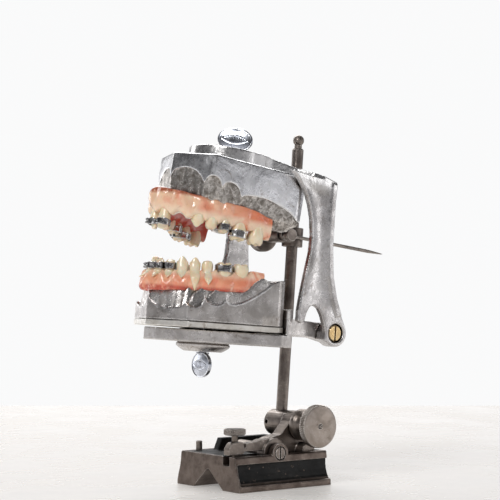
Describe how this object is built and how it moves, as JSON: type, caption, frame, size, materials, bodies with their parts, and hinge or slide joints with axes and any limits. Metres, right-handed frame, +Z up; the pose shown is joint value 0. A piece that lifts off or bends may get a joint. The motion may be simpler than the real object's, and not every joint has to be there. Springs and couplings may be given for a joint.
{
  "type": "dental articulator",
  "caption": "Dental articulator: two metal casts with gums, teeth and bands in a hinged frame, clamped on the upright spindle of a small V-groove surface gauge.",
  "frame": {"origin": "centre of the underside of the bounding box, on the surface that the base stands on", "axes": "+Z up; -Y towards the front teeth; +X towards the knurled knob of the stand"},
  "size_m": [0.0784, 0.1604, 0.1942],
  "materials": {
    "iron": "worn bare and black-painted, satin",
    "steel": "browned, satin",
    "aluminium": "satin, stained and scratched",
    "chrome": "polished",
    "brass": "satin",
    "band_steel": "polished",
    "gum": "glossy, slightly translucent",
    "tooth": "glossy"
  },
  "bodies": {
    "base": {"gauge_base": "iron", "pivot_screw": "steel", "rocker_spring": "steel"},
    "pin_front": {"gauge_pin_front": "steel"},
    "pin_rear": {"gauge_pin_rear": "steel"},
    "rocker": {"rocker_bracket": "steel"},
    "fine_adjust": {"fine_adjust_screw": "steel"},
    "head": {"swivel_head": "steel"},
    "clamp_knob": {"clamp_nut": "steel"},
    "post": {"spindle": "steel"},
    "snug": {"snug_body": "steel"},
    "scriber_arm": {"snug_bolt": "steel", "scriber": "steel"},
    "snug_knob": {"snug_nut": "steel"},
    "lower_jaw": {"band_31": "band_steel", "band_32": "band_steel", "band_36": "band_steel", "hinge_screw_far": "brass", "hinge_screw_near": "brass", "lower_cast": "aluminium", "lower_cast_plate": "aluminium", "lower_frame": "aluminium", "lower_gum": "gum", "post_set_screw": "steel", "tooth_31": "tooth", "tooth_32": "tooth", "tooth_33": "tooth", "tooth_34": "tooth", "tooth_35": "tooth", "tooth_36": "tooth", "tooth_37": "tooth", "tooth_41": "tooth", "tooth_42": "tooth", "tooth_43": "tooth", "tooth_44": "tooth", "tooth_45": "tooth", "tooth_46": "tooth", "tooth_47": "tooth"},
    "lower_screw": {"lower_thumbscrew": "chrome"},
    "upper_jaw": {"band_11": "band_steel", "band_21": "band_steel", "band_25": "band_steel", "band_26": "band_steel", "tooth_11": "tooth", "tooth_12": "tooth", "tooth_13": "tooth", "tooth_14": "tooth", "tooth_15": "tooth", "tooth_16": "tooth", "tooth_17": "tooth", "tooth_21": "tooth", "tooth_23": "tooth", "tooth_24": "tooth", "tooth_25": "tooth", "tooth_26": "tooth", "tooth_27": "tooth", "upper_cast": "aluminium", "upper_frame": "aluminium", "upper_gum": "gum"},
    "upper_screw": {"upper_thumbscrew": "chrome"}
  },
  "joints": [
    {"name": "pin_front_slide", "type": "slide", "parent": "base", "child": "pin_front", "axis": [0, 0, 1], "range_m": [-0.0046, 0]},
    {"name": "pin_rear_slide", "type": "slide", "parent": "base", "child": "pin_rear", "axis": [0, 0, 1], "range_m": [-0.0046, 0]},
    {"name": "rocker_tilt", "type": "hinge", "parent": "base", "child": "rocker", "pos_m": [0.0031, -0.0113, 0.0188], "axis": [1, 0, 0], "range_deg": [-3, 3], "deforming": ["rocker_spring"]},
    {"name": "fine_adjust_travel", "type": "slide", "parent": "rocker", "child": "fine_adjust", "axis": [0, 0, 1], "range_m": [-0.0014, 0.0014]},
    {"name": "head_swivel", "type": "hinge", "parent": "rocker", "child": "head", "pos_m": [0, 0.0111, 0.0323], "axis": [1, 0, 0], "range_deg": [-45, 20]},
    {"name": "clamp_knob_spin", "type": "hinge", "parent": "head", "child": "clamp_knob", "pos_m": [0, 0.0111, 0.0323], "axis": [1, 0, 0], "continuous": true},
    {"name": "post_turn", "type": "hinge", "parent": "head", "child": "post", "pos_m": [0, 0.0111, 0.0323], "axis": [0, 0.0809, 0.9967], "range_deg": [-90, 90]},
    {"name": "snug_slide", "type": "slide", "parent": "post", "child": "snug", "axis": [0, 0.0809, 0.9967], "range_m": [-0.025, 0.01]},
    {"name": "scriber_tilt", "type": "hinge", "parent": "snug", "child": "scriber_arm", "pos_m": [0, 0.00897, 0.13581], "axis": [1, 0, 0], "range_deg": [-40, 40]},
    {"name": "snug_knob_spin", "type": "hinge", "parent": "snug", "child": "snug_knob", "pos_m": [0, 0.00897, 0.13581], "axis": [1, 0, 0], "continuous": true},
    {"name": "lower_jaw_slide", "type": "slide", "parent": "post", "child": "lower_jaw", "axis": [0, 0.0809, 0.9967], "range_m": [-0.012, 0.012]},
    {"name": "lower_screw_turn", "type": "hinge", "parent": "lower_jaw", "child": "lower_screw", "pos_m": [0, -0.04199, 0.08276], "axis": [0, 0.0809, 0.9967], "continuous": true},
    {"name": "jaw_hinge", "type": "hinge", "parent": "lower_jaw", "child": "upper_jaw", "pos_m": [0, 0.01818, 0.08249], "axis": [-1, 0, 0], "range_deg": [-8.7, 9]},
    {"name": "upper_screw_turn", "type": "hinge", "parent": "upper_jaw", "child": "upper_screw", "pos_m": [0, -0.02218, 0.18052], "axis": [0, 0.2094, 0.9778], "continuous": true}
  ],
  "couplings": [
    {"joint": "fine_adjust_travel", "follows": "rocker_tilt", "m_per_rad": 0.0244}
  ]
}
